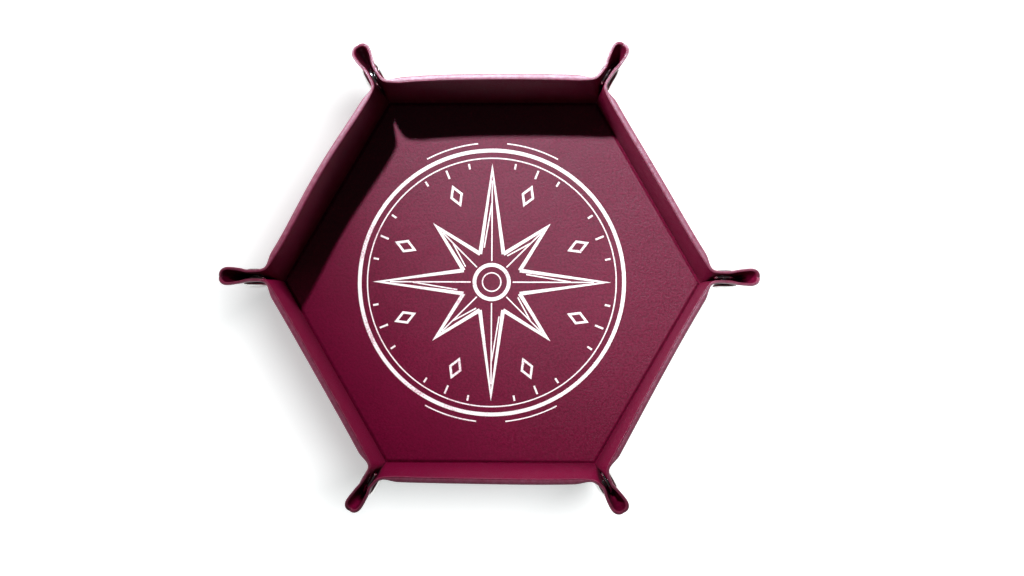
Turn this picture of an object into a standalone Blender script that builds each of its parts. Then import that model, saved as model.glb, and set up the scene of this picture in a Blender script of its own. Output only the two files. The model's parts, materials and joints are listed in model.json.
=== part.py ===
"""Folding dice tray: a hexagonal leatherette sheet with boards in its floor and six walls.

Six fold-up walls are held up by six pinched corner gussets, each closed by a ring snap.
Units are metres, +Z is up, the origin is at the centre of the underside. Wall 1 is on +Y and the
numbers run clockwise seen from above; corner N lies between wall N and wall N + 1.
"""

import math
from typing import NamedTuple

import bmesh
import bpy
import numpy as np
from mathutils import Matrix, Vector

# ---------------------------------------------------------------- driving dimensions (metres)
SIDES = 6
SIDE_TURN = math.radians(60.0)  # from one wall to the next
HALF_TURN = SIDE_TURN / 2
FLOOR_SIDE = 0.100  # one side of the floor, crease to crease
APOTHEM = FLOOR_SIDE * math.sqrt(3.0) / 2.0
WALL_HEIGHT = 0.040  # from the crease to the rim, along the wall
WALL_ANGLE = math.radians(82.0)  # wall from the horizontal when the snaps are closed

SHEET = 0.00055  # one layer of leatherette
BOARD = 0.0016  # stiffener board
BOARD_GAP = 0.00025  # clearance between a board and the leatherette over it
BOARD_EDGE = 0.0002  # bevel on a board's edges
GUSSET = 0.0013  # the two layers laminated together in a corner
PANEL = 2 * SHEET + 2 * BOARD_GAP + BOARD  # full panel thickness
PIVOT_Z = PANEL / 2  # the creases lie at mid-thickness

SHEET_INSET = 0.0020  # floor sheets stop this far inside the crease line
FLOOR_BOARD_INSET = 0.0035

WALL_FOOT = 0.0022  # wall starts this far above the crease line
WALL_END = 0.0007  # wall and gusset stop this far from the line they hinge on
WALL_TAPER_OUT = 0.0016  # wall is at laminate thickness this far from its end line
WALL_TAPER_IN = 0.0031  # wall is at full thickness this far from its end line
WALL_EDGE = 0.00022  # bevel on the pocket's edges
WALL_HEM = 0.0026  # welded hem above the wall board
WALL_BOARD_LENGTH = 0.0920
WALL_BOARD_RISE = 0.0008  # from the wall's foot up to the board
WALL_BOARD_DROP = 0.0003  # from the top of the slot down to the board
SLOT_BOTTOM = -0.004  # the slot's cutter runs past the wall's foot to here

# Heights and lengths in a gusset are measured up the wall end line and outward from it.
GUSSET_FOOT = 0.0125  # gusset starts this far from the corner point
NOSE_FOOT = 0.0260
NOSE_CLEARANCE = 0.00085  # each side of the line the nose unrolls about
MIDLINE_GAP = 0.0002  # from the gusset's middle crease to the corner's plane of symmetry
TIP_RADIUS = 0.0080  # round on the gusset's outer corner when laid flat
LOOP_DEPTH_RATIO = 0.066  # depth of the loop's round end, per metre of height
LOOP_FLARE = 0.0008  # extra half-width of the loop at the rim
FLARE_FOOT = 0.0260  # height the flare starts at
FLARE_POWER = 1.3
FLARE_START_HEIGHTS = (0.027, 0.033)  # between these heights the flare's start moves inward
FLARE_STARTS = (0.0125, 0.0075)  # distance out to the flare's start at those heights
FLARE_START_LIMIT = 0.9  # the start is held to this share of the side's length
LEAF_GRID = {"columns": 7, "rows": 6}
NOSE_GRID = {"columns": 3, "rows": 4}

SNAP_UP = 0.0270  # snap centre from the corner point, along the wall end line
SNAP_OUT = 0.0064  # and outward from that line
SNAP_HALF_GAP = 0.00195  # middle of the gusset's sheet from the plane of symmetry at the snap
SEAT_MARGIN = 0.0002  # flat seat beyond the cap's radius
SEAT_BLEND = 0.0045  # from the seat back to the unpinched sheet
SEAT_HINGE_BLEND = 0.0028  # the pinch grows over this length out from the wall end
SEAT_RISE = (0.014, 0.0215)  # the pinch grows between these heights
CAP_RADIUS = 0.0056
CAP_HEIGHT = 0.0015
POST_RADIUS = 0.0019
POST_END = 0.00095  # cap's post stops this far from the plane of symmetry
POST_HOLE_RADIUS = 0.00215
POST_HOLE_DEPTH = 0.006
SOCKET_RADIUS = 0.0048
SOCKET_BORE = 0.0024
SOCKET_LIP = 0.00035  # socket's rim stands this far past the plane of symmetry
SOCKET_CHAMFER = 0.0001
SOCKET_LIP_SLOPE = 0.0005  # width of the slope on each side of the rim
STUD_RADIUS = 0.0020
STUD_TOP = 0.0006
FLANGE_RADIUS = 0.0045
FLANGE_TOP = -0.00085
SNAP_SEAT_GAP = 0.0002  # between a snap part and the gusset
TURN_STEPS = 16

# ---------------------------------------------------------------- a clean scene
for old in list(bpy.data.objects):
    bpy.data.objects.remove(old, do_unlink=True)

tray = bpy.data.collections.new("folding_dice_tray")
cutters = bpy.data.collections.new("cutters")
bpy.context.scene.collection.children.link(tray)
bpy.context.scene.collection.children.link(cutters)

# ---------------------------------------------------------------- finishes
COVER = {"colour": (0.155, 0.022, 0.050), "roughness": 0.55}  # burgundy leatherette
LINING = {"colour": (0.190, 0.028, 0.066), "roughness": 0.60}
GREYBOARD = {"colour": (0.330, 0.290, 0.240), "roughness": 0.85}
NICKEL = {"colour": (0.720, 0.710, 0.690), "roughness": 0.25, "metallic": 1.0}


def material(name, colour, roughness, metallic=0.0):
    made = bpy.data.materials.new(name)
    made.use_nodes = True
    shader = made.node_tree.nodes["Principled BSDF"]
    shader.inputs["Base Color"].default_value = (*colour, 1.0)
    shader.inputs["Roughness"].default_value = roughness
    shader.inputs["Metallic"].default_value = metallic
    made.diffuse_color = (*colour, 1.0)
    return made


# ---------------------------------------------------------------- objects and modifiers
def mesh_from(bm, name):
    """Write the bmesh to a new mesh and free it."""
    mesh = bpy.data.meshes.new(name)
    bm.to_mesh(mesh)
    bm.free()
    return mesh


def add_piece(mesh, finish, parent=None):
    """A visible piece named after its mesh, with a material of its own."""
    obj = bpy.data.objects.new(mesh.name, mesh)
    mesh.materials.append(material(obj.name + "_finish", **finish))
    tray.objects.link(obj)
    obj.parent = parent
    return obj


def add_cutter(mesh, parent):
    obj = bpy.data.objects.new(mesh.name, mesh)
    cutters.objects.link(obj)
    obj.parent = parent
    obj.hide_render = True
    return obj


def add_pivot(name, location, rotation):
    empty = bpy.data.objects.new(name, None)
    empty.empty_display_size = 0.01
    empty.location = location
    empty.rotation_euler = rotation
    tray.objects.link(empty)
    return empty


def bevel(obj, width):
    modifier = obj.modifiers.new("edge_round", "BEVEL")
    modifier.width = width
    modifier.segments = 1
    modifier.limit_method = "ANGLE"
    modifier.angle_limit = math.radians(50.0)


def cut(obj, tool):
    modifier = obj.modifiers.new("cut", "BOOLEAN")
    modifier.operation = "DIFFERENCE"
    modifier.solver = "EXACT"
    modifier.object = tool


def box_mesh(name, low, high):
    bm = bmesh.new()
    bmesh.ops.create_cube(bm, size=1.0)
    low, high = Vector(low), Vector(high)
    bmesh.ops.scale(bm, vec=high - low, verts=bm.verts)
    bmesh.ops.translate(bm, vec=(high + low) / 2, verts=bm.verts)
    return mesh_from(bm, name)


def cylinder_mesh(name, segments, radius, depth, rotation, middle):
    bm = bmesh.new()
    bmesh.ops.create_cone(
        bm, cap_ends=True, segments=segments, radius1=radius, radius2=radius, depth=depth
    )
    bmesh.ops.rotate(bm, cent=(0, 0, 0), matrix=rotation, verts=bm.verts)
    bmesh.ops.translate(bm, vec=middle, verts=bm.verts)
    return mesh_from(bm, name)


# ---------------------------------------------------------------- floor
def add_floor_plate(name, inset, low, high, finish):
    """A hexagon whose sides lie this far inside the creases."""
    mesh = cylinder_mesh(
        name,
        segments=SIDES,
        radius=(APOTHEM - inset) * 2.0 / math.sqrt(3.0),
        depth=high - low,
        rotation=Matrix.Rotation(HALF_TURN, 3, "Z"),
        middle=(0, 0, (low + high) / 2),
    )
    return add_piece(mesh, finish)


def build_floor():
    board_low = SHEET + BOARD_GAP
    add_floor_plate("floor_cover", SHEET_INSET, 0.0, SHEET, COVER)
    board = add_floor_plate(
        "floor_board", FLOOR_BOARD_INSET, board_low, board_low + BOARD, GREYBOARD
    )
    bevel(board, BOARD_EDGE)
    add_floor_plate("floor_lining", SHEET_INSET, PANEL - SHEET, PANEL, LINING)


# ---------------------------------------------------------------- walls
# In a wall's own frame x runs along the crease, y up the wall and z out of its inner face.
SLOT_TOP = WALL_HEIGHT - WALL_HEM


def pocket_outline():
    """The wall's section in x and z: full thickness, tapered to the laminate at both ends."""
    half = FLOOR_SIDE / 2
    thick, thin = PANEL / 2, GUSSET / 2
    right_end = [
        (half - WALL_TAPER_IN, -thick),
        (half - WALL_TAPER_OUT, -thin),
        (half - WALL_END, -thin),
        (half - WALL_END, thin),
        (half - WALL_TAPER_OUT, thin),
        (half - WALL_TAPER_IN, thick),
    ]
    return right_end + [(-x, z) for x, z in reversed(right_end)]


def add_pocket(number, crease):
    bm = bmesh.new()
    face = bm.faces.new([bm.verts.new((x, WALL_FOOT, z)) for x, z in pocket_outline()])
    pushed = bmesh.ops.extrude_face_region(bm, geom=[face])
    moved = [item for item in pushed["geom"] if isinstance(item, bmesh.types.BMVert)]
    bmesh.ops.translate(bm, vec=(0, WALL_HEIGHT - WALL_FOOT, 0), verts=moved)
    bmesh.ops.recalc_face_normals(bm, faces=bm.faces)
    pocket = add_piece(mesh_from(bm, f"wall_pocket_{number}"), COVER, crease)

    slot_x = WALL_BOARD_LENGTH / 2 + BOARD_GAP
    slot_z = BOARD / 2 + BOARD_GAP
    slot_mesh = box_mesh(
        f"wall_slot_{number}", (-slot_x, SLOT_BOTTOM, -slot_z), (slot_x, SLOT_TOP, slot_z)
    )
    slot = add_cutter(slot_mesh, crease)
    slot.display_type = "WIRE"
    cut(pocket, slot)
    bevel(pocket, WALL_EDGE)


def add_wall_board(number, crease):
    mesh = box_mesh(
        f"wall_board_{number}",
        (-WALL_BOARD_LENGTH / 2, WALL_FOOT + WALL_BOARD_RISE, -BOARD / 2),
        (WALL_BOARD_LENGTH / 2, SLOT_TOP - WALL_BOARD_DROP, BOARD / 2),
    )
    bevel(add_piece(mesh, GREYBOARD, crease), BOARD_EDGE)


def build_wall(number):
    turn = math.pi / 2 - SIDE_TURN * (number - 1)
    facing = Matrix.Rotation(turn - math.pi / 2, 3, "Z")
    crease = add_pivot(
        f"wall_{number}_crease",
        (APOTHEM * math.cos(turn), APOTHEM * math.sin(turn), PIVOT_Z),
        (facing @ Matrix.Rotation(WALL_ANGLE, 3, "X")).to_euler(),
    )
    add_pocket(number, crease)
    add_wall_board(number, crease)


# ---------------------------------------------------------------- corner gussets
# In a corner's own frame the corner point is the origin, x points outward along the plane of
# symmetry, y is across it and z is up. Half "a" is at +y and half "b" is its mirror image.
WALL_LINE = np.array(
    [
        math.cos(HALF_TURN) * math.cos(WALL_ANGLE),
        math.sin(HALF_TURN) * math.cos(WALL_ANGLE),
        math.sin(WALL_ANGLE),
    ]
)  # up the end of the wall
LEAF_OUT = np.array([WALL_LINE[2], 0.0, -WALL_LINE[0]])
LEAF_OUT /= np.linalg.norm(LEAF_OUT)  # outward in the leaf, square to the wall end
LEAF_NORMAL = np.cross(WALL_LINE, LEAF_OUT)

SIDE_POINTS = 60  # along the side of a section
ROUND_POINTS = 40  # round its end, after the side's last point
ROUND_MIDDLE = SIDE_POINTS - 1 + ROUND_POINTS // 2  # index of the point halfway round
SIDE_FIRST_GUESS = 0.8  # side's share of the flat length
SECTION_PASSES = 12
RIM_PASSES = 8


class Section(NamedTuple):
    """Points on the middle line of a half gusset's sheet at one height."""

    length: np.ndarray  # arc length from the wall end
    out: np.ndarray
    y: np.ndarray


def smooth(value, low, high):
    share = np.clip((value - low) / (high - low), 0.0, 1.0)
    return share * share * (3.0 - 2.0 * share)


def side_y(up, out, end):
    """The side's distance from the plane of symmetry: pinched at the snap, then flared."""
    y = np.full_like(out, WALL_LINE[1] * up)
    seat_radius = CAP_RADIUS + SEAT_MARGIN
    half_chord = math.sqrt(max(0.0, seat_radius**2 - (up - SNAP_UP) ** 2))
    seat = 1.0 - smooth(np.abs(out - SNAP_OUT), half_chord, half_chord + SEAT_BLEND)
    seat *= smooth(out, 0.0, SEAT_HINGE_BLEND) * smooth(up, *SEAT_RISE)
    y = y + seat * (SNAP_HALF_GAP - y)

    flare_share = np.clip((up - FLARE_FOOT) / (WALL_HEIGHT - FLARE_FOOT), 0.0, None)
    start = min(np.interp(up, FLARE_START_HEIGHTS, FLARE_STARTS), end * FLARE_START_LIMIT)
    # The small length keeps the blend from having no width.
    return y + LOOP_FLARE * flare_share**FLARE_POWER * smooth(out, start, end + 1e-6)


def section(up):
    """Side and round end at one height, fitted so the arc length matches the flat sheet."""
    flat_length = up * math.tan(HALF_TURN) - MIDLINE_GAP
    depth = LOOP_DEPTH_RATIO * up
    angle = np.linspace(0.0, math.pi / 2, ROUND_POINTS + 1)[1:]
    end = flat_length * SIDE_FIRST_GUESS
    for _ in range(SECTION_PASSES):
        out = np.linspace(0.0, end, SIDE_POINTS)
        y = side_y(up, out, end)
        out = np.concatenate([out, end + depth * np.sin(angle)])
        y = np.concatenate([y, MIDLINE_GAP + (y[-1] - MIDLINE_GAP) * np.cos(angle)])
        length = np.concatenate([[0.0], np.cumsum(np.hypot(np.diff(out), np.diff(y)))])
        end += flat_length - length[-1]
    return Section(length, out, y)


def rim_height(slope):
    """Height of the rim along the ray of this slope, with the outer corner rounded."""
    round_up = WALL_HEIGHT - TIP_RADIUS
    round_along = WALL_HEIGHT * math.tan(HALF_TURN) - TIP_RADIUS * math.tan(HALF_TURN)
    if slope * WALL_HEIGHT <= round_along:
        return WALL_HEIGHT
    # The ray's far crossing of the round's circle, from a quadratic in the height.
    linear = round_up + round_along * slope
    square = 1.0 + slope * slope
    constant = round_up**2 + round_along**2 - TIP_RADIUS**2
    return (linear + math.sqrt(max(0.0, linear * linear - square * constant))) / square


def sheet_point(up, along, mirror):
    """The point at this height and arc length, moved off the flat leaf along its normal."""
    line = section(up)
    out = np.interp(along, line.length, line.out)
    y = np.interp(along, line.length, line.y)
    point = WALL_LINE * up + LEAF_OUT * out
    point = point + LEAF_NORMAL * ((y - point[1]) / LEAF_NORMAL[1])
    return Vector((point[0], mirror * point[1], point[2]))


def add_gusset_sheet(name, corner, mirror, foot, first, last, columns, rows):
    """A sheet between two edges that are given as arc lengths at each height."""

    def along_at(up, share):
        return first(up) + (last(up) - first(up)) * share

    bm = bmesh.new()
    grid = []
    for i in range(columns + 1):
        share = i / columns
        rim = WALL_HEIGHT
        for _ in range(RIM_PASSES):
            rim = rim_height(along_at(rim, share) / rim)
        column = []
        for j in range(rows + 1):
            up = foot + (rim - foot) * j / rows
            column.append(bm.verts.new(sheet_point(up, along_at(up, share), mirror)))
        grid.append(column)
    for left, right in zip(grid, grid[1:]):
        for j in range(rows):
            quad = [left[j], right[j], right[j + 1], left[j + 1]]
            bm.faces.new(quad if mirror > 0 else quad[::-1])

    sheet = add_piece(mesh_from(bm, name), COVER, corner)
    shell = sheet.modifiers.new("laminate", "SOLIDIFY")
    shell.thickness = GUSSET
    shell.offset = 0.0
    shell.use_even_offset = True
    return sheet


def leaf_first(up):
    return WALL_END


def leaf_last(up):
    return section(up).length[ROUND_MIDDLE] - NOSE_CLEARANCE


def nose_first(up):
    return section(up).length[ROUND_MIDDLE] + NOSE_CLEARANCE


def nose_last(up):
    return section(up).length[-1]


def add_leaf(label, corner, mirror):
    """The gusset from the wall end to the fold, with a hole for the snap's post."""
    leaf = add_gusset_sheet(
        f"gusset_leaf_{label}", corner, mirror, GUSSET_FOOT, leaf_first, leaf_last, **LEAF_GRID
    )
    hole_mesh = cylinder_mesh(
        f"post_hole_{label}",
        segments=TURN_STEPS,
        radius=POST_HOLE_RADIUS,
        depth=POST_HOLE_DEPTH,
        rotation=Matrix.Rotation(math.pi / 2, 3, "X"),
        middle=SNAP_CENTRE + Vector((0, mirror * SNAP_HALF_GAP, 0)),
    )
    cut(leaf, add_cutter(hole_mesh, corner))


def add_nose(label, corner, mirror):
    """The gusset from the fold to its middle crease."""
    add_gusset_sheet(
        f"gusset_nose_{label}", corner, mirror, NOSE_FOOT, nose_first, nose_last, **NOSE_GRID
    )


# ---------------------------------------------------------------- snaps
# Profiles are radius and height along the snap's axis, from the corner's plane of symmetry.
# The cap and socket sit on half "a", at positive heights; the stud is on half "b".
SNAP_POINT = WALL_LINE * SNAP_UP + LEAF_OUT * SNAP_OUT
SNAP_CENTRE = Vector((SNAP_POINT[0], 0.0, SNAP_POINT[2]))
CAP_BASE = SNAP_HALF_GAP + GUSSET / 2 + SNAP_SEAT_GAP
SOCKET_TOP = SNAP_HALF_GAP - GUSSET / 2 - SNAP_SEAT_GAP

# Shares of the cap's radius and height, from the crown to the base.
DOME_SHARES = [(0.0, 1.0), (0.40, 0.96), (0.72, 0.78), (0.92, 0.46), (1.0, 0.14), (0.98, 0.0)]
DOME = [(CAP_RADIUS * radius, CAP_BASE + CAP_HEIGHT * height) for radius, height in DOME_SHARES]

CAP_PROFILE = DOME + [(POST_RADIUS, CAP_BASE), (POST_RADIUS, POST_END), (0.0, POST_END)]

SOCKET_PROFILE = [
    (SOCKET_RADIUS, SOCKET_TOP - SOCKET_CHAMFER),
    (SOCKET_RADIUS, 0.0002),
    (SOCKET_RADIUS - SOCKET_LIP_SLOPE, -SOCKET_LIP),
    (SOCKET_BORE + SOCKET_LIP_SLOPE, -SOCKET_LIP),
    (SOCKET_BORE, 0.0),
    (SOCKET_BORE, SOCKET_TOP),
    (SOCKET_RADIUS - SOCKET_CHAMFER, SOCKET_TOP),
]

STUD_PROFILE = [
    (0.0, STUD_TOP),
    (STUD_RADIUS * 0.75, STUD_TOP),
    (STUD_RADIUS, 0.0003),
    (STUD_RADIUS * 0.88, -0.0003),
    (STUD_RADIUS * 0.90, -0.00075),
    (FLANGE_RADIUS, FLANGE_TOP),
    (FLANGE_RADIUS, -SOCKET_TOP),
    (POST_RADIUS, -SOCKET_TOP),
    (POST_RADIUS, -CAP_BASE),
] + [(radius, -height) for radius, height in reversed(DOME)]


def add_snap_part(name, corner, profile, closed=False):
    """A profile turned about local z, which is laid along the corner's +y."""
    count = len(profile)
    edges = [(i, (i + 1) % count) for i in range(count if closed else count - 1)]
    mesh = bpy.data.meshes.new(name)
    mesh.from_pydata([(radius, 0.0, height) for radius, height in profile], edges, [])
    part = add_piece(mesh, NICKEL, corner)
    part.location = SNAP_CENTRE
    part.rotation_euler = Matrix.Rotation(-math.pi / 2, 3, "X").to_euler()
    screw = part.modifiers.new("turn", "SCREW")
    screw.axis = "Z"
    screw.steps = TURN_STEPS
    screw.render_steps = TURN_STEPS
    screw.use_merge_vertices = True
    screw.merge_threshold = 0.00001
    screw.use_normal_calculate = True


def build_corner(number):
    turn = SIDE_TURN * (2 - number)
    corner = add_pivot(
        f"corner_{number}",
        (FLOOR_SIDE * math.cos(turn), FLOOR_SIDE * math.sin(turn), PIVOT_Z),
        (0.0, 0.0, turn),
    )
    for half_name, mirror in (("a", 1.0), ("b", -1.0)):
        add_leaf(f"{number}{half_name}", corner, mirror)
        add_nose(f"{number}{half_name}", corner, mirror)
    add_snap_part(f"snap_cap_{number}", corner, CAP_PROFILE)
    add_snap_part(f"snap_socket_{number}", corner, SOCKET_PROFILE, closed=True)
    add_snap_part(f"snap_stud_{number}", corner, STUD_PROFILE)


# ---------------------------------------------------------------- the whole tray
build_floor()
for side in range(1, SIDES + 1):
    build_wall(side)
for side in range(1, SIDES + 1):
    build_corner(side)
bpy.context.view_layer.update()
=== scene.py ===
"""A six-sided leatherette tray with snapped corners and a compass rose printed on its floor.

It stands on z = 0 about the Z axis. Wall 1 faces +Y and corner 2 points along +X; walls and
corners are numbered clockwise seen from above. Corner n lies between walls n and n + 1.
A sheet is a lining (inside) and a cover (outside); the floor and walls have boards between them.
Each corner is a gusset folded outwards into a loop, its halves "a" and "b" held by a snap.
"""
import json
import math

import bmesh
import bpy
import numpy as np
from mathutils import Matrix, Vector


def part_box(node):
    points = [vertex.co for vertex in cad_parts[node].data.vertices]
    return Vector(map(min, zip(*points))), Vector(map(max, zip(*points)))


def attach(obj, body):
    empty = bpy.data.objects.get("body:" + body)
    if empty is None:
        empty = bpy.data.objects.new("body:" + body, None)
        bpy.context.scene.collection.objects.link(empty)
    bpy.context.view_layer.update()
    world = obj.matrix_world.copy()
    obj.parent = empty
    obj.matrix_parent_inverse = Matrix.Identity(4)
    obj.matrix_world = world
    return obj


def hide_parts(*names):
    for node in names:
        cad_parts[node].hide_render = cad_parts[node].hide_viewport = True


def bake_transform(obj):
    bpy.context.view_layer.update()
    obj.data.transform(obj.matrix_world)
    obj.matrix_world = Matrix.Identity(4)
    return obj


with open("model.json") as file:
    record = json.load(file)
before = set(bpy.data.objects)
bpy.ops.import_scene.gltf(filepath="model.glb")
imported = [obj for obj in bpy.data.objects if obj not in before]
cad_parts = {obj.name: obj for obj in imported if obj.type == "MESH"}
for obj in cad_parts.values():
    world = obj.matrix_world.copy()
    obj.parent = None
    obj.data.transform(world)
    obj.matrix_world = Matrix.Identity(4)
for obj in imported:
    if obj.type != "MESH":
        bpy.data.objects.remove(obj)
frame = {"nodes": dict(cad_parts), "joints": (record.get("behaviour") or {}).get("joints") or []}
for leftover in ("Cube", "Light", "Camera"):
    if leftover in bpy.data.objects:
        bpy.data.objects.remove(bpy.data.objects[leftover], do_unlink=True)
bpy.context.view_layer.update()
SCENE = bpy.context.scene

# ---------------------------------------------------------------- driving dimensions
# Lengths are in millimetres up to the stage, and scaled by MM where a mesh or joint is made.
# "level" is the distance up the sheet from the floor crease, negative on the floor.
# "inset" is the distance along a wall from its end.
MM = 0.001
NUMBERS = range(1, 7)
joints = {joint["name"]: joint for joint in frame["joints"]}


def joint_array(name, field="pos_m"):
    return np.array(joints[name][field])


def unit(vector):
    return vector / np.linalg.norm(vector)


CORNER_AT = joint_array("gusset_2a_spread")
WALL_AT = joint_array("wall_1_fold")
SIDE = 2 * np.linalg.norm(CORNER_AT[:2] - joint_array("wall_2_fold")[:2]) / MM
APOTHEM = np.linalg.norm(WALL_AT[:2]) / MM
PIVOT_Z = WALL_AT[2] / MM
CORNER_R = np.linalg.norm(CORNER_AT[:2]) / MM
WALL_H = 40.0
TAN30 = math.tan(math.radians(30.0))

# Directions in the corner's own frame: x out, y towards half "a", z up. Corner 2 needs no turning.
UP = np.array([0.0, 0.0, 1.0])
RISE = -joint_array("gusset_2a_spread", "axis")  # straight up the wall's slope
NOSE_AXIS = joint_array("nose_2a_unroll", "axis")
LEAN = math.asin(RISE[2])  # wall from the horizontal
LEAF_OUT = unit(np.array([RISE[2], 0.0, -RISE[0]]))  # away from the tray in the symmetry plane
LEAF_SIDE = np.cross(RISE, LEAF_OUT)
TANGENT = np.array([-0.5, math.sqrt(3) / 2, 0.0])  # along the wall, away from the corner
NORMAL = np.array([math.sqrt(3) / 2, 0.5, 0.0])  # out through the wall, on plan
WALL_OUT = NORMAL * math.sin(LEAN) - UP * math.cos(LEAN)
MIRROR_Y = np.array([1, -1, 1])

# Each open face stands off the sheet's middle by FOLD_FACE at the folds, more over the boards.
LAYER = 0.60
FOLD_FACE = 0.65
FLOOR_SWELL = 0.95
FLOOR_FACE = FOLD_FACE + FLOOR_SWELL
LINING_SWELL, COVER_SWELL = 0.25, 1.28
FLOOR_MARGIN = 6.0  # from the crease to the edge of the floor's own sheets

# How far each wall's rim stands out (+) or in (-), at RIM_PLACES from its middle.
# The first two places are clockwise of the middle.
RIM_PLACES = (-40, -20, 0, 20, 40)
RIM_SHIFT = {
    1: (-0.1, 0.35, 0.35, 0.0, -1.2),
    2: (-1.5, -1.8, -1.85, -2.1, -2.2),
    3: (0.15, -0.6, -1.3, -1.75, -1.8),
    4: (1.3, 1.7, 1.95, 2.1, 1.8),
    5: (-1.8, -2.05, -2.1, -2.1, -1.9),
    6: (-1.6, -0.6, -0.1, -0.8, -1.3),
}
RIM_CURVE = {wall: np.polyfit(RIM_PLACES, shift, 4) for wall, shift in RIM_SHIFT.items()}
# Per corner: loop flare, pinch half-gap at the rim, sideways lean of the loop's end, reach.
LOOP = {
    1: (0.85, 2.05, 0.35, 0.3),
    2: (0.75, 2.15, 0.20, 0.0),
    3: (1.00, 2.00, 0.45, 0.4),
    4: (0.70, 2.20, -0.60, 0.2),
    5: (0.95, 2.05, 0.25, 0.1),
    6: (1.20, 1.95, -0.45, -0.5),
}


def smooth(value, low, high):
    """An eased step from 0 at low to 1 at high."""
    t = np.clip((np.asarray(value, float) - low) / (high - low), 0.0, 1.0)
    return t * t * (3.0 - 2.0 * t)


def gaussian(path, step, sigma):
    """A path of evenly spaced points, blurred along its length and carried straight on at its ends."""
    reach = max(1, int(round(4 * sigma / step)))
    kernel = np.exp(-0.5 * (np.arange(-reach, reach + 1) * step / sigma) ** 2)
    kernel /= kernel.sum()
    before = 2 * path[:1] - path[1 : reach + 1][::-1]
    after = 2 * path[-1:] - path[-reach - 1 : -1][::-1]
    padded = np.concatenate([before, path, after])
    return np.stack([np.convolve(padded[:, k], kernel, "valid") for k in range(path.shape[1])], 1)


def bearing(degrees):
    """Plan unit vectors: out at an angle from +X, and a quarter turn anticlockwise of that."""
    angle = math.radians(degrees)
    c, s = math.cos(angle), math.sin(angle)
    return np.array([c, s, 0.0]), np.array([-s, c, 0.0])


def wall_bearing(number):
    return bearing(150.0 - 60.0 * number)


def corner_bearing(number):
    return bearing(120.0 - 60.0 * number)


# ---------------------------------------------------------------- floor to wall, in section
SECTION_STEP = 0.05
SECTION_BLUR = 0.75
SECTION_S = np.arange(-16.0, 56.0, SECTION_STEP)
SHARP_SECTION = np.where(
    SECTION_S[:, None] < 0,
    np.stack([SECTION_S, 0 * SECTION_S], 1),
    np.stack([SECTION_S * math.cos(LEAN), SECTION_S * math.sin(LEAN)], 1),
)
SECTION = gaussian(SHARP_SECTION, SECTION_STEP, SECTION_BLUR)
SECTION_RUN = np.gradient(SECTION, axis=0)
SECTION_RUN /= np.linalg.norm(SECTION_RUN, axis=1)[:, None]


def crease_point(level):
    """(outward, up) from the crease of the sheet's middle, and the direction it runs in."""
    at, run = (
        np.array([np.interp(level, SECTION_S, path[:, k]) for k in range(2)])
        for path in (SECTION, SECTION_RUN)
    )
    return at, unit(run)


def faces(inset, level):
    """Offsets of the lining's and the cover's open faces from the sheet's middle."""
    if level < 0:
        face = FOLD_FACE + FLOOR_SWELL * float(smooth(-level, 0.5, 2.0))
        return face, face
    swell = float(smooth(inset, 1.6, 9.5) * smooth(level, 1.0, 3.0))
    return FOLD_FACE + LINING_SWELL * swell, FOLD_FACE + COVER_SWELL * swell


def side_edge(level):
    """The inset at which the wall panel stops and the corner sheet takes over."""
    if level < 0:
        return -level * TAN30
    return 1.5 * float(smooth(level, 0.0, 1.2)) + 5.5 * float(smooth(level, 5.0, 9.0))


def bow(wall, x, level):
    """Outward shift of the wall, x along it from its middle."""
    rim_shift = np.polyval(RIM_CURVE[wall], np.clip(x, -42.0, 42.0))
    return rim_shift * (max(0.0, level) / WALL_H) ** 1.1


# ---------------------------------------------------------------- cross-sections of the two layers
# The lining's edge: distance below the rim, distance back from the open face.
LINING_EDGE = (
    (0.34, 0.0), (0.20, 0.03), (0.09, 0.10), (0.03, 0.20),
    (0.01, 0.34), (0.01, 0.48), (0.05, 0.575), (0.34, 0.595),
)


def cover_edge(rim, inner, outer):
    """(level, offset) over the rim: the cover turns in as far as the back of the lining."""
    radius = 0.28 + 0.24 * (outer - FOLD_FACE) / COVER_SWELL
    small = 0.06
    back = inner - 0.62
    left, right = -outer + radius, back - small
    crown = 0.05 * (right - left)
    rows = []
    for k in range(6):
        a = math.pi / 2 * k / 5
        rows.append((rim - radius + radius * math.sin(a), left - radius * math.cos(a)))
    for k in (1, 2, 3):
        f = k / 4
        rows.append((rim + crown * 4 * f * (1 - f), left + (right - left) * f))
    for k in range(4):
        a = math.pi / 2 * k / 3
        rows.append((rim - small + small * math.cos(a), right + small * math.sin(a)))
    rows.append((rim - 0.66, back))
    rows.append((rim - 0.76, min(back, -outer + 0.62)))
    return rows


def layer_rows(kind, foot_levels, rim, face_at):
    """(level, offset) round one layer: up its open face, over the rim, down its back.
    face_at gives the two open faces at a level. Offsets are positive towards the tray's inside."""
    inner, outer = face_at(rim)
    if kind == "lining":
        edge = [(rim - drop, inner - depth) for drop, depth in LINING_EDGE]
        face = [(level, face_at(level)[0]) for level in foot_levels]
        back = [(level, offset - LAYER) for level, offset in reversed(face)]
    else:
        edge = cover_edge(rim, inner, outer)
        face = [(level, -face_at(level)[1]) for level in foot_levels]
        back = [(level, offset + LAYER) for level, offset in reversed(face)]
    return face + edge + back


# ---------------------------------------------------------------- mesh helpers
def mesh_object(name, bm, sharp_degrees=None):
    """Turns a bmesh into an object; with an angle given, it is smooth but for sharper edges."""
    bmesh.ops.recalc_face_normals(bm, faces=bm.faces)
    if sharp_degrees is not None:
        for face in bm.faces:
            face.smooth = True
        for edge in bm.edges:
            if len(edge.link_faces) == 2:
                if edge.calc_face_angle(0.0) > math.radians(sharp_degrees):
                    edge.smooth = False
    mesh = bpy.data.meshes.new(name)
    bm.to_mesh(mesh)
    bm.free()
    obj = bpy.data.objects.new(name, mesh)
    SCENE.collection.objects.link(obj)
    return obj


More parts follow.
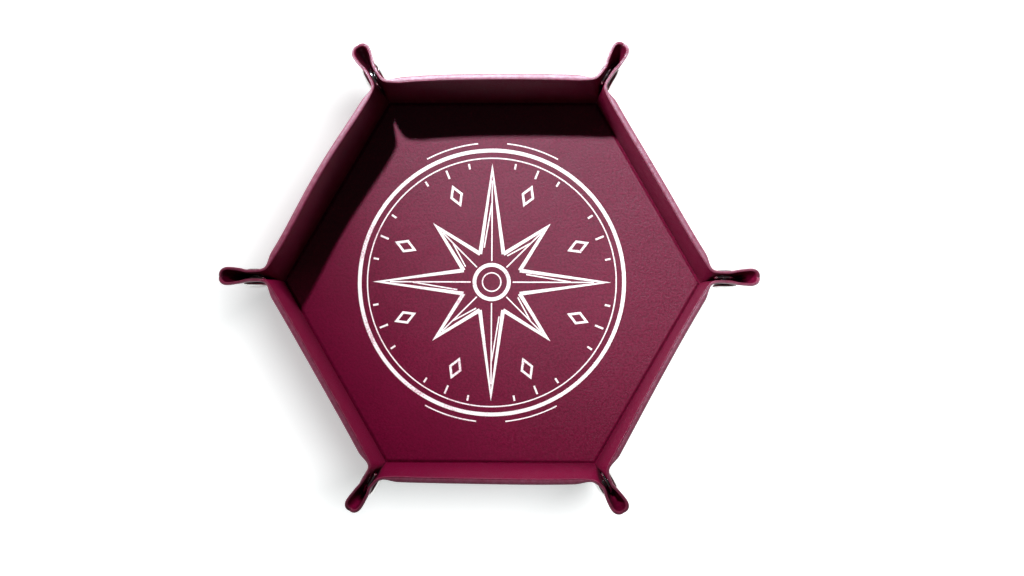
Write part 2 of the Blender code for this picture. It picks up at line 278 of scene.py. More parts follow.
def loft(name, stations, feet=0):
    """A body through stations, each a closed loop of points with `feet` rows up each side."""
    bm = bmesh.new()
    rim = bm.verts.layers.float.new("rim")
    grid = [[bm.verts.new(Vector(point) * MM) for point in loop] for loop in stations]
    count = len(grid[0])
    if feet:
        # Marks the rows that turn over the rim, where the finish is rubbed and a paler painted
        # highlight is laid on.
        for loop in grid:
            for vert in loop[feet : count - feet]:
                vert[rim] = 1.0
    for left, right in zip(grid, grid[1:]):
        for j in range(count):
            k = (j + 1) % count
            bm.faces.new([left[j], right[j], right[k], left[k]])
    # Each loop is a folded strip, so its cap is a ladder between the two sides.
    for loop, order in ((grid[0], -1), (grid[-1], 1)):
        for j in range(count // 2 - 1):
            quad = [loop[j], loop[j + 1], loop[count - 2 - j], loop[count - 1 - j]]
            bm.faces.new(quad[::order])
    bmesh.ops.remove_doubles(bm, verts=bm.verts, dist=1e-7)
    return mesh_object(name, bm, sharp_degrees=42)


# ---------------------------------------------------------------- the corner sheet
LEVELS = np.concatenate([np.linspace(0.6, 6.0, 19), np.linspace(6.6, 41.0, 87)])
INSETS = np.linspace(0.0, 9.0, 91)
SHARES = np.linspace(0.0, 1.0, 241)  # across the gusset, from the wall's end to the symmetry plane

# A round flat patch on each half of the gusset, where the halves are pinched together.
SEAT_OUT, SEAT_LEVEL, SEAT_R, SEAT_EASE = 6.4, 27.0, 5.8, 4.5
SEAT_HALF_GAP = 1.95
FLARE_LEVEL = 24.0  # above this the loop flares


def flat_section(level, flare_rim, pinch_rim):
    """The gusset's middle line at one level, from the wall's end to the symmetry plane:
    share of its length, distance along LEAF_OUT, and y."""
    flat_length = level * TAN30
    end = flat_length * 0.8
    chord = math.sqrt(max(0.0, SEAT_R**2 - (level - SEAT_LEVEL) ** 2))
    half_gaps = [SEAT_HALF_GAP, SEAT_HALF_GAP, pinch_rim]
    target = np.interp(level, [24.0, 30.0, WALL_H], half_gaps)
    flare_start = float(np.interp(level, [27.0, 33.0], [12.0, 7.8]))
    flare = flare_rim * max(0.0, (level - FLARE_LEVEL) / (WALL_H - FLARE_LEVEL)) ** 1.3
    depth = 0.098 * level
    angle = np.linspace(0.0, math.pi / 2, 41)[1:]
    # The straight part is adjusted until the line is as long as the flat gusset is wide.
    for _ in range(12):
        out = np.linspace(0.0, end, 60)
        y = np.full_like(out, RISE[1] * level)
        seat = 1.0 - smooth(np.abs(out - SEAT_OUT), chord, chord + SEAT_EASE)
        seat = seat * smooth(out, 0.0, 2.8) * smooth(level, 14.0, 21.5)
        y = y + seat * (target - y)
        y = y + flare * smooth(out, min(flare_start, end * 0.9), end + 1e-6)
        out = np.concatenate([out, end + depth * np.sin(angle)])
        y = np.concatenate([y, y[-1] * np.cos(angle)])
        length = np.concatenate([[0.0], np.cumsum(np.hypot(np.diff(out), np.diff(y)))])
        end += flat_length - length[-1]
    return length / length[-1], out, y


def corner_table(number, wall, mirror):
    """Middle surface and inward direction of half a corner, in the corner's frame:
    over (LEVELS, INSETS) on the wall and (LEVELS, SHARES) on the leaf of the gusset."""
    flare_rim, pinch_rim, _, _ = LOOP[number]
    table = {"wall": ([], []), "leaf": ([], [])}
    for level in LEVELS:
        line_share, line_out, line_y = flat_section(level, flare_rim, pinch_rim)
        (outward, height), _ = crease_point(level)
        root = NORMAL * outward + UP * height
        step = min(0.08, level * 0.01)
        inset = np.arange(int(14.0 / step), 0, -1) * step
        shift = bow(wall, -mirror * (SIDE / 2 - inset), level)
        side = root + TANGENT * inset[:, None] + WALL_OUT * shift[:, None]
        flat = level * TAN30
        share = np.linspace(0.0, 1.0, max(40, int(round(flat / step))) + 1)
        leaf = root + LEAF_OUT * np.interp(share, line_share, line_out)[:, None]
        y = np.interp(share, line_share, line_y)
        leaf = leaf + LEAF_SIDE * ((y - leaf[:, 1]) / LEAF_SIDE[1])[:, None]
        fade = 1.0 - smooth(share * flat, 0.0, min(7.0, 0.4 * flat))
        leaf = leaf + WALL_OUT * (shift[-1] * fade)[:, None]
        leaf[-1, 1] = 0.0
        # Both halves are blurred together, more broadly near the wall fold.
        path = np.concatenate([side, leaf])
        whole = np.concatenate([path, (leaf[:-1] * MIRROR_Y)[::-1], (side * MIRROR_Y)[::-1]])
        broad = gaussian(whole, step, max(0.20, 0.052 * level))[: len(path)]
        fine = gaussian(whole, step, max(0.08, 0.017 * level))[: len(path)]
        arc = np.concatenate([-inset, share * flat])
        mix = smooth(arc, 0.10 * level, 0.24 * level)[:, None]
        soft = broad * (1 - mix) + fine * mix
        soft[-1, 1] = 0.0
        along = np.gradient(soft, axis=0)
        along[-1] = (0.0, -1.0, 0.0)
        along /= np.linalg.norm(along, axis=1)[:, None]
        inward = np.cross(along, RISE)
        inward /= np.linalg.norm(inward, axis=1)[:, None]
        for part, at in (("wall", -INSETS), ("leaf", SHARES * flat)):
            for rows, line in zip(table[part], (soft, inward)):
                rows.append(np.stack([np.interp(at, arc, line[:, k]) for k in range(3)], 1))
    return {part: [np.array(rows) for rows in pair] for part, pair in table.items()}


def look_up(table, grid, level, value):
    """Bilinear interpolation in a table over (LEVELS, grid)."""
    level = min(max(level, LEVELS[0]), LEVELS[-1])
    i = min(int(np.searchsorted(LEVELS, level, "right")) - 1, len(LEVELS) - 2)
    f = (level - LEVELS[i]) / (LEVELS[i + 1] - LEVELS[i])
    j = min(max(int(np.searchsorted(grid, value, "right")) - 1, 0), len(grid) - 2)
    g = (value - grid[j]) / (grid[j + 1] - grid[j])
    lower = table[i, j] * (1 - g) + table[i, j + 1] * g
    upper = table[i + 1, j] * (1 - g) + table[i + 1, j + 1] * g
    return lower * (1 - f) + upper * f


def rim_level(slope):
    """Level of the rim along a ray of the flat gusset, with its outer corner rounded."""
    radius = 8.0
    centre = WALL_H - radius
    flat_end = centre * TAN30
    if slope * WALL_H <= flat_end:
        return WALL_H
    b = centre + flat_end * slope
    a = 1.0 + slope * slope
    return (b + math.sqrt(max(0.0, b * b - a * (centre**2 + flat_end**2 - radius**2)))) / a


# Levels of the rows below the edge, at a wall's end.
FOOT = [
    0.8, 1.4, 2.0, 2.6, 3.2, 4.0, 5.0, 6.0, 7.0, 8.0, 9.0, 10.5, 12.0, 14.0, 16.0, 18.0, 20.0, 22.0,
    24.0, 26.0, 28.0, 30.0, 32.0, 34.0, 35.6, 37.0, 38.0, 38.8,
]
# Least y of the cover near the symmetry plane, by level, on its open face and its back.
CLEARANCE_LEVELS = (0, 3, 4, 6, 8, 11, 14, 17, 21)
FACE_CLEARANCE = (0.46, 0.45, 0.40, 0.34, 0.30, 0.26, 0.19, 0.10, 0.0)
BACK_CLEARANCE = (0.05, 0.10, 0.12, 0.13, 0.14, 0.14, 0.12, 0.08, 0.0)
PLANE_SHARE = 0.999  # from here on a station lies on the symmetry plane


def least_side(kind, share, level, offset):
    """Near the foot the cover's halves stand a little apart, so that they clear when unfolded."""
    if kind == "lining":
        return 0.0
    clearance = FACE_CLEARANCE if offset < -0.4 else BACK_CLEARANCE
    least = float(np.interp(level, CLEARANCE_LEVELS, clearance))
    return least * float(smooth(share, 0.85, 0.97))


def corner_station(kind, table, number, share, mirror):
    """One closed loop round a layer of the corner sheet, in the tray's frame.
    A share from -1 to 0 is on the wall, 0 to 1 is across the gusset."""
    _, _, lean, reach = LOOP[number]
    on_leaf = share >= 0
    grid = SHARES if on_leaf else INSETS
    middle_table, inward_table = table["leaf" if on_leaf else "wall"]
    rim = rim_level(max(0.0, share) * TAN30)
    shrink = (rim - FOOT[0]) / (WALL_H - FOOT[0])
    levels = [FOOT[0] + (level - FOOT[0]) * shrink for level in FOOT]
    outward, sideways = corner_bearing(number)
    base = outward * CORNER_R + UP * PIVOT_Z

    def grid_value(level):
        return share if on_leaf else -share * side_edge(level)

    def face_at(level):
        return (FOLD_FACE, FOLD_FACE) if on_leaf else faces(grid_value(level), level)

    points = []
    for level, offset in layer_rows(kind, levels, rim, face_at):
        value = grid_value(level)
        middle = look_up(middle_table, grid, level, value)
        x, y, z = middle + unit(look_up(inward_table, grid, level, value)) * offset
        least = least_side(kind, share, level, offset)
        y = max(y, least + 0.03) if share < PLANE_SHARE else least
        away = float(smooth(x, 13.0, 27.0)) * (level / 38.0)
        x, y = x + reach * away, mirror * y + lean * away
        points.append(outward * x + sideways * y + UP * z + base)
    return points


# ---------------------------------------------------------------- material helpers
def feed(socket, value):
    """Links an input to an output socket, or sets it to a plain value."""
    if isinstance(value, bpy.types.NodeSocket):
        socket.id_data.links.new(value, socket)
    else:
        socket.default_value = value


def fill(node, **values):
    """Feeds the inputs named (underscores for spaces); other names are the node's properties."""
    for key, value in values.items():
        label = key.replace("_", " ")
        if label in node.inputs:
            feed(node.inputs[label], value)
        else:
            setattr(node, key, value)
    return node


def add(tree, kind, **values):
    return fill(tree.nodes.new("ShaderNode" + kind), **values)


def calculate(tree, operation, *operands):
    node = add(tree, "Math", operation=operation)
    for socket, operand in zip(node.inputs, operands):
        feed(socket, operand)
    return node.outputs[0]


def noise(tree, where, **values):
    return add(tree, "TexNoise", Vector=where, **values).outputs["Fac"]


def colour_ramp(tree, factor, *stops):
    """Stops are (position, colour) pairs."""
    node = add(tree, "ValToRGB", Fac=factor)
    for element, (position, colour) in zip(node.color_ramp.elements, stops):
        element.position = position
        element.color = (*colour, 1)
    return node.outputs["Color"]


def map_range(tree, value, **limits):
    return add(tree, "MapRange", Value=value, **limits).outputs["Result"]


def bump(tree, height, **values):
    return add(tree, "Bump", Height=height, **values).outputs["Normal"]


def new_material(name):
    material = bpy.data.materials.new(name)
    material.use_nodes = True
    return material, material.node_tree, material.node_tree.nodes["Principled BSDF"]


def object_space(tree):
    return add(tree, "TexCoord").outputs["Object"]


# ---------------------------------------------------------------- materials
def leather(name, dark, light, sheen, wear_and_highlight, specular):
    """Dark red leatherette; its rims are paled, partly as rubbed wear and partly as a painted
    highlight, as far as the wear-and-highlight share says.
    """
    material, tree, shader = new_material(name)
    where = object_space(tree)
    # Broad cloudiness and fine mottle.
    cloud = noise(tree, where, Scale=28.0, Detail=3.0, Roughness=0.55)
    mottle = noise(tree, where, Scale=900.0, Detail=3.0, Roughness=0.62)
    cloud_part = calculate(tree, "MULTIPLY", cloud, 0.16)
    mixed = calculate(tree, "MULTIPLY_ADD", mottle, 0.84, cloud_part)
    colour = colour_ramp(tree, mixed, (0.38, dark), (0.62, light))
    # The rims are rubbed and carry a painted highlight: a paler, mottled colour, and a little shinier
    # than the faces.
    rim = add(tree, "Attribute", attribute_name="rim").outputs["Fac"]
    patchy = noise(tree, where, Scale=420.0, Detail=4.0, Roughness=0.7)
    spread = map_range(
        tree, patchy, From_Min=0.35, From_Max=0.65, To_Min=0.55 * wear_and_highlight, To_Max=1.0 * wear_and_highlight
    )
    amount = calculate(tree, "MULTIPLY", rim, spread)
    # The pale rim colour below stands partly for rubbed wear and partly for a painted highlight.
    worn_and_highlit = add(tree, "Mix", data_type="RGBA")
    # The colour mix's sockets by place: factor, first colour, second colour.
    for place, value in ((0, amount), (6, colour), (7, (0.37, 0.13, 0.20, 1))):
        feed(worn_and_highlit.inputs[place], value)
    polish = calculate(tree, "MULTIPLY_ADD", amount, 4.0, specular)
    rough = map_range(tree, mottle, From_Min=0.3, From_Max=0.7, To_Min=0.40, To_Max=0.54)
    # Pores, pebbled grain and soft waviness, from fine to broad.
    pores = add(tree, "TexVoronoi", Vector=where, Scale=2100.0, feature="F1").outputs["Distance"]
    pebble = noise(tree, where, Scale=900.0, Detail=4.0, Roughness=0.65)
    wave = noise(tree, where, Scale=90.0, Detail=2.0)
    relief = bump(tree, pores, Strength=0.2975, Distance=0.00012)
    relief = bump(tree, pebble, Strength=0.527, Distance=0.00024, Normal=relief)
    relief = bump(tree, wave, Strength=0.25, Distance=0.0006, Normal=relief)
    fill(
        shader,
        Base_Color=worn_and_highlit.outputs[2],
        Roughness=rough,
        Normal=relief,
        Sheen_Weight=sheen,
        Sheen_Roughness=0.45,
        Sheen_Tint=(1.0, 0.62, 0.74, 1.0),
        Specular_IOR_Level=specular,
    )
    # The level set above stands only if this link is taken away.
    fill(shader, Specular_IOR_Level=polish)
    return material


def print_ink():
    """White ink, pinkish where it is thin."""
    material, tree, shader = new_material("white_print")
    where = object_space(tree)
    speckle = noise(tree, where, Scale=1300.0, Detail=3.0, Roughness=0.7)
    patch = noise(tree, where, Scale=45.0, Detail=2.0)
    cover_amount = calculate(tree, "MULTIPLY", speckle, patch)
    thin, full = (0.62, 0.40, 0.47), (0.93, 0.87, 0.88)
    fill(
        shader,
        Base_Color=colour_ramp(tree, cover_amount, (0.14, thin), (0.20, full)),
        Roughness=0.55,
        Normal=bump(tree, speckle, Strength=0.3, Distance=0.00008),
    )
    return material


def nickel():
    """Hazy bright plate with very fine scratches."""
    material, tree, shader = new_material("nickel_plate")
    where = object_space(tree)
    haze = noise(tree, where, Scale=400.0, Detail=4.0, Roughness=0.7)
    scratch = noise(tree, where, Scale=2600.0, Detail=2.0)
    dull, bright = (0.56, 0.55, 0.54), (0.74, 0.73, 0.71)
    fill(
        shader,
        Base_Color=colour_ramp(tree, haze, (0.3, dull), (0.7, bright)),
        Roughness=map_range(tree, haze, To_Min=0.12, To_Max=0.27),
        Normal=bump(tree, scratch, Strength=0.08, Distance=0.00005),
        Metallic=1.0,
    )
    return material


def greyboard():
    material, tree, shader = new_material("greyboard_fibre")
    fibre = noise(tree, object_space(tree), Scale=700.0, Detail=6.0, Roughness=0.75)
    dark, light = (0.19, 0.165, 0.135), (0.40, 0.36, 0.30)
    fill(
        shader,
        Base_Color=colour_ramp(tree, fibre, (0.3, dark), (0.75, light)),
        Roughness=0.9,
        Normal=bump(tree, fibre, Strength=0.4, Distance=0.0002),
    )
    return material


def studio_paper():
    """Matt white that glows a little."""
    material, _, shader = new_material("studio_paper")
    fill(
        shader,
        Base_Color=(0.90, 0.90, 0.905, 1),
        Roughness=0.95,
        Specular_IOR_Level=0.05,
        Emission_Color=(0.93, 1.0, 0.985, 1),
        Emission_Strength=0.50,
    )
    return material


# The rim shares set how far the rims are paled, as rubbed wear and as a painted highlight.
LEATHERS = {
    "lining": leather(
        "lining_leatherette", dark=(0.092, 0.0011, 0.0172), light=(0.148, 0.0028, 0.0296),
        sheen=0.01, wear_and_highlight=0.20, specular=0.5,
    ),
    "cover": leather(
        "cover_leatherette", dark=(0.092, 0.0012, 0.0172), light=(0.148, 0.0030, 0.0296),
        sheen=0.02, wear_and_highlight=0.40, specular=0.8,
    ),
}
INK = print_ink()
NICKEL = nickel()
BOARD = greyboard()


def dress(obj, look):
    obj.data.materials.clear()
    obj.data.materials.append(look)
    return obj


def dress_layer(obj, kind):
    return dress(obj, LEATHERS[kind])


# ---------------------------------------------------------------- floor sheets
FLOOR_RINGS = 14


def hexagon_ring(ring):
    """Points round one of the floor's nested hexagons, `ring` steps to a side."""
    if ring == 0:
        return [(0.0, 0.0)]
    radius = (APOTHEM - FLOOR_MARGIN) / math.cos(math.radians(30))
    points = []
    for k in range(6):
        start, end = (bearing(60 * n)[0][:2] * radius * ring / FLOOR_RINGS for n in (k, k + 1))
        points += [start + (end - start) * j / ring for j in range(ring)]
    return points


def floor_sheet(name, low, high):
    """The floor's middle: a hexagonal sheet, finely divided, that the crease strips join on to."""
    bm = bmesh.new()
    borders = []
    for z in (low, high):
        loops = [
            [bm.verts.new(Vector((x, y, z)) * MM) for x, y in hexagon_ring(ring)]
            for ring in range(FLOOR_RINGS + 1)
        ]
        borders.append(loops[-1])
        for ring in range(1, FLOOR_RINGS + 1):
            inner, outer = loops[ring - 1], loops[ring]
            for k in range(6):
                for j in range(ring):
                    a = outer[k * ring + j]
                    b = outer[(k * ring + j + 1) % len(outer)]
                    c = inner[(k * (ring - 1) + j) % len(inner)]
                    bm.faces.new([c, a, b])
                    if j < ring - 1:
                        d = inner[(k * (ring - 1) + j + 1) % len(inner)]
                        bm.faces.new([c, b, d])
    base, top = borders
    for j in range(len(top)):
        k = (j + 1) % len(top)
        bm.faces.new([base[j], base[k], top[k], top[j]])
    return mesh_object(name, bm)


for kind, low, high in (
    ("lining", FLOOR_FACE - LAYER, FLOOR_FACE),
    ("cover", -FLOOR_FACE, LAYER - FLOOR_FACE),
):
    sheet = floor_sheet(f"floor_{kind}_sheet", PIVOT_Z + low, PIVOT_Z + high)
    dress_layer(sheet, kind)
    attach(sheet, "floor")
    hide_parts(f"floor_{kind}")
dress(frame["nodes"]["floor_board"], BOARD)

# ---------------------------------------------------------------- wall sheets and boards
WALL_LEVELS = [
    -FLOOR_MARGIN, -5.0, -4.2, -3.6, -3.2, -2.8, -2.4, -2.0, -1.6, -1.2, -0.8, -0.4, 0.0, 0.4, 0.8,
    1.2, 1.6, 2.0, 2.5, 3.0, 3.6, 4.4, 5.2, 6.0, 7.0, 8.0, 9.0, 11.0, 14.0, 18.0, 22.0, 26.0, 30.0,
    33.5, 36.0, 37.6, 38.8,
]
# Stations along a wall, as shares of its half length, crowded towards the ends.
END_EASE = 0.5 * (1 - np.cos(np.linspace(0, math.pi / 2, 10)[:-1])) * 0.6
WALL_SHARES = np.concatenate([-1 + END_EASE, np.linspace(-0.7, 0.7, 25), (1 - END_EASE)[::-1]])

BOARD_HALF = 45.8
BOARD_LOW, BOARD_HIGH = 4.3, 37.0
BOARD_HALF_THICK = 0.8
BOARD_CHAMFER = 0.25


def wall_station(kind, number, share):
    """One closed loop round a layer of a wall and its strip of floor."""

    def inset_at(level):
        return SIDE / 2 - abs(share) * (SIDE / 2 - side_edge(level))

    def face_at(level):
        return faces(inset_at(level), level)

    outward, along = wall_bearing(number)
    base = outward * APOTHEM + UP * PIVOT_Z
    points = []
    for level, offset in layer_rows(kind, WALL_LEVELS, WALL_H, face_at):
        (out, z), (run_out, run_z) = crease_point(level)
        x = math.copysign(SIDE / 2 - inset_at(level), share)
        shift = bow(number, x, level)
        slope = (bow(number, x + 0.2, level) - bow(number, x - 0.2, level)) / 0.4
        flat = offset / math.hypot(1.0, slope)
        # Inward is the direction of the section turned a quarter turn towards the inside.
        out += -run_z * flat + shift * math.sin(LEAN)
        z += run_out * flat - shift * math.cos(LEAN)
        points.append(base + outward * out + UP * z + along * (x + flat * slope))
    return points


def board_station(number, x):
    """One closed loop round a wall's board, which is curved with the wall."""
    outward, along = wall_bearing(number)
    pivot = joint_array(f"wall_{number}_fold") / MM
    chamfer = BOARD_CHAMFER if abs(x) > BOARD_HALF - 0.1 else 0.0
    levels = np.linspace(BOARD_LOW + chamfer, BOARD_HIGH - chamfer, 9)
    inner, outer = faces(SIDE / 2 - abs(x), 20.0)
    centre = (inner - outer) / 2
    half = min(BOARD_HALF_THICK, (inner + outer) / 2 - 0.63)
    rows = [(level, centre + half) for level in levels]
    rows += [(level, centre - half) for level in levels[::-1]]
    points = []
    for level, offset in rows:
        lift = offset - bow(number, x, level)
        out = level * math.cos(LEAN) - math.sin(LEAN) * lift
        z = level * math.sin(LEAN) + math.cos(LEAN) * lift
        points.append(pivot + outward * out + UP * z + along * x)
    return points


# The sheets turn from floor to wall in a rounded crease about the line halfway between them; each
# wall's sheets are one fixed piece.
for number in NUMBERS:
    wall = f"wall_{number}"
    for kind in LEATHERS:
        stations = [wall_station(kind, number, share) for share in WALL_SHARES]
        piece = dress_layer(loft(f"{wall}_{kind}", stations, feet=len(WALL_LEVELS)), kind)
        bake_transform(piece)
        if kind == "cover":
            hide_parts(f"wall_pocket_{number}")

    stations = [board_station(number, x) for x in np.linspace(-BOARD_HALF, BOARD_HALF, 31)]
    board = dress(loft(f"{wall}_stiffener", stations), BOARD)
    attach(board, wall)
    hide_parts(f"wall_board_{number}")

# ---------------------------------------------------------------- corners
SEAM = 0.42  # share of the gusset where the fold piece gives way to the loop piece
FOLD_SHARES = np.concatenate([np.linspace(-1.0, 0.0, 17)[:-1], np.linspace(0.0, SEAM, 19)])
LOOP_SHARES = np.linspace(SEAM, 1.0, 37)
# Directions across the two bends, in the corner's frame, and half the width that bends.
ACROSS_FOLD = unit(LEAF_OUT - TANGENT)
ACROSS_LOOP = LEAF_OUT * math.cos(math.radians(45)) - LEAF_SIDE * math.sin(math.radians(45))
ACROSS_LOOP = unit(ACROSS_LOOP - NOSE_AXIS * (ACROSS_LOOP @ NOSE_AXIS))
FOLD_REACH, LOOP_REACH = 4.2, 2.7

for number in NUMBERS:
    for half, mirror in (("a", 1.0), ("b", -1.0)):
        wall = number if half == "a" else number % 6 + 1
        tag = f"{number}{half}"
        table = corner_table(number, wall, mirror)
        gusset, nose = f"gusset_{tag}", f"nose_{tag}"
        parts = (
            ("fold", FOLD_SHARES, f"wall_{wall}", gusset, ACROSS_FOLD, FOLD_REACH, "leaf"),
            ("loop", LOOP_SHARES, gusset, nose, ACROSS_LOOP, LOOP_REACH, "nose"),
        )
        for kind in LEATHERS:
            for part, shares, first, second, across, reach, replaced in parts:
                stations = [corner_station(kind, table, number, u, mirror) for u in shares]
                piece = loft(f"corner_{tag}_{part}_{kind}", stations, feet=len(FOOT))
                dress_layer(piece, kind)
                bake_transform(piece)
                if kind == "cover":
                    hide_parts(f"gusset_{replaced}_{tag}")

# ---------------------------------------------------------------- snaps
# Profiles are (radius, height) along the snap's axis; positive heights are on half "a".
CAP_R, CAP_H, CAP_FOOT = 5.6, 1.9, 2.8
SHANK_R = 1.9
DOME_EDGE = ((0.998, 0.22), (0.985, 0.12), (0.955, 0.04), (0.92, 0.0))  # shares of CAP_R, CAP_H
DOME = [
    (CAP_R * math.sin(t), CAP_H * 0.32 + CAP_H * 0.68 * math.cos(t))
    for t in np.linspace(0, math.pi / 2, 13)
] + [(CAP_R * radius, CAP_H * height) for radius, height in DOME_EDGE]
CAP_PROFILE = [(radius, CAP_FOOT + height) for radius, height in DOME] + [
    (SHANK_R, CAP_FOOT), (SHANK_R, 0.95), (0.0, 0.95),
]
SOCKET_PROFILE = [
    (4.8, 0.95), (4.8, 0.30), (4.72, 0.08), (4.5, -0.12), (4.2, -0.27), (3.9, -0.34),
    (3.3, -0.35), (3.05, -0.30), (2.75, -0.16), (2.5, 0.06), (2.4, 0.25), (2.42, 0.70),
    (2.55, 1.0), (2.8, 1.08), (4.5, 1.1), (4.7, 1.06),
]
STUD_PROFILE = [
    (0.0, 0.60), (0.9, 0.60), (1.35, 0.57), (1.7, 0.47), (1.93, 0.30), (1.99, 0.12),
    (1.9, -0.08), (1.78, -0.25), (1.76, -0.62), (1.9, -0.74), (2.2, -0.79), (4.2, -0.83),
    (4.42, -0.88), (4.5, -0.98), (4.42, -1.1), (SHANK_R, -1.1), (SHANK_R, -CAP_FOOT),
] + [(radius, -CAP_FOOT - height) for radius, height in DOME[::-1]]
# Kind, shape, profile, whether the profile closes on itself, half of the gusset it rides on.
SNAP_PARTS = (
    ("cap", "dome", CAP_PROFILE, False, "a"),
    ("socket", "ring", SOCKET_PROFILE, True, "a"),
    ("stud", "post", STUD_PROFILE, False, "b"),
)


def turned(name, profile, closed, number, segments=56):
    """A profile turned about the snap's axis, which is square to the symmetry plane."""
    low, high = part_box(f"snap_socket_{number}")
    centre = (low + high) / 2
    outward, axis = (Vector(direction) for direction in corner_bearing(number))
    middle = centre - axis * centre.dot(axis)
    bm = bmesh.new()
    rings = []
    for radius, height in profile:
        hub = middle + axis * (height * MM)
        if radius < 1e-6:
            rings.append([bm.verts.new(hub)])
            continue
        spokes = (
            outward * math.cos(t) + Vector((0, 0, 1)) * math.sin(t)
            for t in np.linspace(0, 2 * math.pi, segments, endpoint=False)
        )
        rings.append([bm.verts.new(hub + spoke * (radius * MM)) for spoke in spokes])
    pairs = list(zip(rings, rings[1:]))
    if closed:
        pairs.append((rings[-1], rings[0]))
    for first, second in pairs:
        for k in range(segments):
            n = (k + 1) % segments
            if len(first) == 1:
                bm.faces.new([first[0], second[k], second[n]])
            elif len(second) == 1:
                bm.faces.new([first[k], first[n], second[0]])
            else:
                bm.faces.new([first[k], first[n], second[n], second[k]])
    return dress(mesh_object(name, bm, sharp_degrees=38), NICKEL)


for number in NUMBERS:
    for kind, shape, profile, closed, half in SNAP_PARTS:
        part = turned(f"snap_{kind}_{number}_{shape}", profile, closed, number)
        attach(part, f"gusset_{number}{half}")
        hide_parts(f"snap_{kind}_{number}")

# ---------------------------------------------------------------- printed compass rose
PRINT_LOW = PIVOT_Z + FLOOR_FACE + 0.004
PRINT_THICK = 0.035
HEAVY, FINE = 1.8, 0.6  # stroke widths


def ribbon(bm, points, width, closed=False, lift=0.0):
    """A flat stroke along a line, mitred at its corners; lift keeps crossing strokes apart."""
    line = np.array(points, float)
    runs = np.diff(line, axis=0, append=line[:1]) if closed else np.diff(line, axis=0)
    normals = np.array([unit(np.array([-dy, dx])) for dx, dy in runs])
    if closed:
        before, after = np.roll(normals, 1, axis=0), normals
    else:
        before = np.concatenate([normals[:1], normals])
        after = np.concatenate([normals, normals[-1:]])
    low, high = PRINT_LOW, PRINT_LOW + PRINT_THICK + lift
    rings = []
    for point, first, second in zip(line, before, after):
        mitre = unit(first + second)
        mitre = mitre * min(3.0, 1.0 / max(0.2, float(mitre @ second)))
        a, b = point + mitre * width / 2, point - mitre * width / 2
        corners = ((a, low), (b, low), (b, high), (a, high))
        rings.append([bm.verts.new(Vector((*xy, z)) * MM) for xy, z in corners])
    steps = list(zip(rings, rings[1:]))
    if closed:
        steps.append((rings[-1], rings[0]))
    for first, second in steps:
        for k in range(4):
            n = (k + 1) % 4
            bm.faces.new([first[k], first[n], second[n], second[k]])
    if not closed:
        bm.faces.new(rings[0])
        bm.faces.new(rings[-1][::-1])


def polar(radius, degrees):
    return bearing(degrees)[0][:2] * radius


def arc(radius, start, end, count):
    return [polar(radius, degrees) for degrees in np.linspace(start, end, count + 1)]


def circle(radius, count):
    return arc(radius, 0.0, 360.0, count)[:-1]


def star_point(bm, k):
    """One of eight points, long and short in turn, with its spine and a fine line on one side."""
    degrees = 45 * k
    tip = polar(54.0 if k % 2 == 0 else 37.0, degrees)
    left, right = polar(14.5, degrees + 22.5), polar(14.5, degrees - 22.5)
    ribbon(bm, [left, tip, right], HEAVY, lift=0.0005 * k)
    ribbon(bm, [polar(10.0, degrees), tip * 0.90], FINE, lift=0.004)
    accent = [left * 0.80 + (tip - left) * 0.14, tip * 0.72 + (left - tip) * 0.03]
    ribbon(bm, accent, FINE, lift=0.002)


def between_points(bm, k):
    """A diamond between two star points, and three ticks outside it."""
    degrees = 22.5 + 45 * k
    out, side = (direction[:2] for direction in bearing(degrees))
    diamond = [out * 49.0, out * 44.5 + side * 2.6, out * 40.0, out * 44.5 - side * 2.6]
    ribbon(bm, diamond, 1.1, closed=True)
    for turn, start in ((-11.25, 55.0), (0.0, 53.4), (11.25, 55.0)):
        ribbon(bm, [polar(start, degrees + turn), polar(57.6, degrees + turn)], 0.9)


def compass_rose():
    bm = bmesh.new()
    ribbon(bm, circle(63.0, 160), HEAVY, closed=True)
    ribbon(bm, circle(59.3, 160), FINE, closed=True)
    for k in range(8):
        star_point(bm, k)
    ribbon(bm, circle(8.2, 64), HEAVY, closed=True, lift=0.006)
    ribbon(bm, circle(4.4, 48), FINE, closed=True, lift=0.006)
    for k in range(8):
        between_points(bm, k)
    # Short arcs outside the rings, a pair each side of +Y and of -Y.
    for start in (62, 242, 96, 276):
        ribbon(bm, arc(66.6, start, start + 22, 30), FINE)
    return mesh_object("printed_compass_rose", bm)


ornament = dress(compass_rose(), INK)
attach(ornament, "floor")

# ---------------------------------------------------------------- stage (metres from here on)
bpy.ops.mesh.primitive_plane_add(size=6.0, location=(0, 0, -0.0002))
ground = bpy.context.object
ground.name = "table_top"
ground.data.materials.append(studio_paper())


def studio_world():
    """White to the camera, but far dimmer as a light, so the shadows stay deep."""
    world = bpy.data.worlds.new("studio")
    world.use_nodes = True
    tree = world.node_tree
    lighting = fill(tree.nodes["Background"], Color=(0.96, 0.98, 1.0, 1), Strength=0.04)
    seen = add(tree, "Background", Color=(1.0, 1.0, 1.0, 1), Strength=1.0)
    camera_ray = add(tree, "LightPath").outputs["Is Camera Ray"]
    either = add(tree, "MixShader", Fac=camera_ray)
    feed(either.inputs[1], lighting.outputs["Background"])
    feed(either.inputs[2], seen.outputs["Background"])
    fill(tree.nodes["World Output"], Surface=either.outputs["Shader"])
    return world


SCENE.world = studio_world()
SCENE.view_settings.view_transform = "Standard"
SCENE.view_settings.look = "None"

# ---------------------------------------------------------------- lights
not_paper = bpy.data.collections.new("all_but_paper")
not_paper.objects.link(ground)
not_paper.collection_objects[0].light_linking.link_state = "EXCLUDE"
only_paper = bpy.data.collections.new("paper")
only_paper.objects.link(ground)


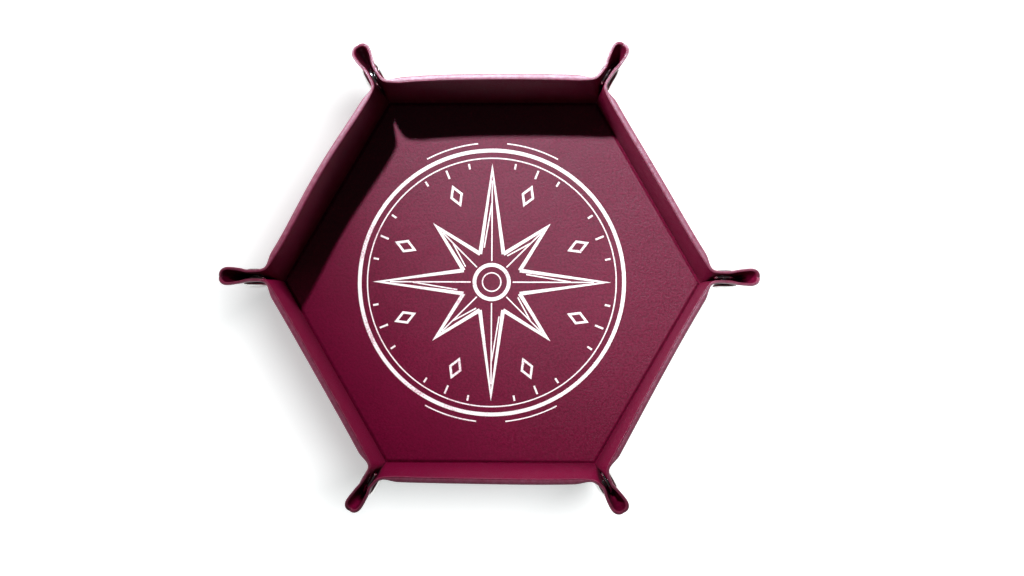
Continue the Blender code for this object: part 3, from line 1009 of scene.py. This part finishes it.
def lamp(name, place, target, size, power, receivers, diffuse=True, glossy=True,
         beam_degrees=None, colour=(1, 1, 1)):
    """A round area lamp, or a soft-edged spot if a beam angle is given."""
    data = bpy.data.lights.new(name, "SPOT" if beam_degrees else "AREA")
    if beam_degrees:
        data.shadow_soft_size = size / 2
        data.spot_size = math.radians(beam_degrees)
        data.spot_blend = 1.0
    else:
        data.shape = "DISK"
        data.size = size
    data.energy = power
    data.color = colour
    obj = bpy.data.objects.new(name, data)
    obj.location = place
    obj.rotation_euler = (Vector(target) - obj.location).to_track_quat("-Z", "Y").to_euler()
    obj.visible_camera = False
    obj.visible_diffuse = diffuse
    obj.visible_glossy = glossy
    SCENE.collection.objects.link(obj)
    obj.light_linking.receiver_collection = receivers


# The key comes over the +Y wall; what it adds by diffusion and by gloss is set apart.
KEY_AT = Vector((-0.235, 0.50, 0.84)).normalized() * 1.5 + Vector((0.045, 0.055, 0.0))
lamp("key", KEY_AT, target=(0.046, 0.064, 0.0), size=0.075, power=172.0,
     receivers=not_paper, glossy=False, beam_degrees=16.6)
lamp("key_gloss", KEY_AT, target=(0.059, 0.092, 0.0), size=0.075, power=132.0,
     receivers=not_paper, diffuse=False, beam_degrees=13.6, colour=(0.90, 0.93, 1.08))
lamp("cross_right", (0.533, 0.924, 0.266), target=(0, 0, 0.02), size=0.30, power=17.0,
     receivers=not_paper, glossy=False)
lamp("cross_left", (-1.072, 0.02, 0.247), target=(0, 0, 0.02), size=0.30, power=12.0,
     receivers=not_paper, glossy=False)
lamp("soft", (0.66, 0.33, 1.31), target=(0, 0, 0), size=1.5, power=34.0, receivers=only_paper)


# ---------------------------------------------------------------- camera
def add_camera(eye, aim, roll):
    """Looks down from eye to aim with +Y upwards in view, then rolls about the line of sight."""
    data = bpy.data.cameras.new("camera")
    data.sensor_width = 36.0
    data.lens = 94.03
    data.clip_start = 0.01
    data.clip_end = 50.0
    camera = bpy.data.objects.new("camera", data)
    SCENE.collection.objects.link(camera)
    look = (aim - eye).normalized()
    level_right = look.cross(Vector((0, 1, 0))).normalized()
    level_top = level_right.cross(look)
    right = level_right * math.cos(roll) + level_top * math.sin(roll)
    top = level_top * math.cos(roll) - level_right * math.sin(roll)
    rotation = Matrix((right, top, -look)).transposed()
    camera.matrix_world = Matrix.Translation(eye) @ rotation.to_4x4()
    SCENE.camera = camera


add_camera(
    eye=Vector((0.0580, -0.0896, 1.2726)),
    aim=Vector((0.00971, -0.00281, 0.0032)),
    roll=math.radians(0.362),
)

bpy.context.view_layer.update()
